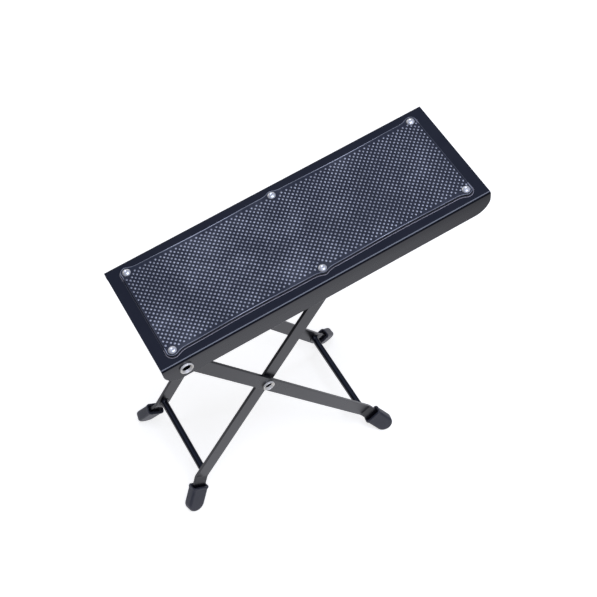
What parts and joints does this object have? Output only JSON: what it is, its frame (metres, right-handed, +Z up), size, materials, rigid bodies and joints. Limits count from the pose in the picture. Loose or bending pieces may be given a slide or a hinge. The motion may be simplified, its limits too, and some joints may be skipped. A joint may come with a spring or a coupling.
{
  "type": "folding footstool",
  "caption": "Folding metal footstool with a sloping rubber-padded tread on crossed flat legs, height set by a rod in a notched rack.",
  "frame": {"origin": "on the floor, under the centre of the stool's bounding box", "axes": "+Z up, +X towards the high end of the tread, +Y to the stool's left side"},
  "size_m": [0.2452, 0.1068, 0.2627],
  "materials": {
    "gloss_black_paint": "gloss",
    "satin_black_paint": "satin",
    "pad_rubber": "studded",
    "boot_rubber": "matt",
    "bright_nickel": "polished",
    "zinc_plated_steel": "dull zinc"
  },
  "bodies": {
    "tread": {"tread_plate": "gloss_black_paint", "tread_pad": "pad_rubber", "pad_rivets": "bright_nickel", "height_rack": "satin_black_paint", "tread_pivot_rivet_left": "bright_nickel", "tread_pivot_rivet_right": "bright_nickel", "tread_pivot_spacer_left": "zinc_plated_steel", "tread_pivot_spacer_right": "zinc_plated_steel"},
    "outer_legs": {"outer_leg_left": "satin_black_paint", "outer_leg_right": "satin_black_paint", "outer_foot_rod": "satin_black_paint", "outer_boot_left": "boot_rubber", "outer_boot_right": "boot_rubber", "cross_pivot_rivet_left": "bright_nickel", "cross_pivot_rivet_right": "bright_nickel", "cross_pivot_washer_left": "zinc_plated_steel", "cross_pivot_washer_right": "zinc_plated_steel"},
    "inner_legs": {"inner_leg_left": "satin_black_paint", "inner_leg_right": "satin_black_paint", "inner_foot_rod": "satin_black_paint", "notch_rod": "satin_black_paint", "inner_boot_left": "boot_rubber", "inner_boot_right": "boot_rubber"}
  },
  "joints": [
    {"name": "leg_fold", "type": "hinge", "parent": "tread", "child": "outer_legs", "pos_m": [-0.10501, 0, 0.20058], "axis": [0, -1, 0], "range_deg": [0, 60.3]},
    {"name": "cross_pivot", "type": "hinge", "parent": "outer_legs", "child": "inner_legs", "pos_m": [-0.03684, 0, 0.12714], "axis": [0, 1, 0], "range_deg": [0, 111.5]}
  ],
  "couplings": [
    {"joint": "cross_pivot", "follows": "leg_fold", "ratio": 1.8488}
  ]
}
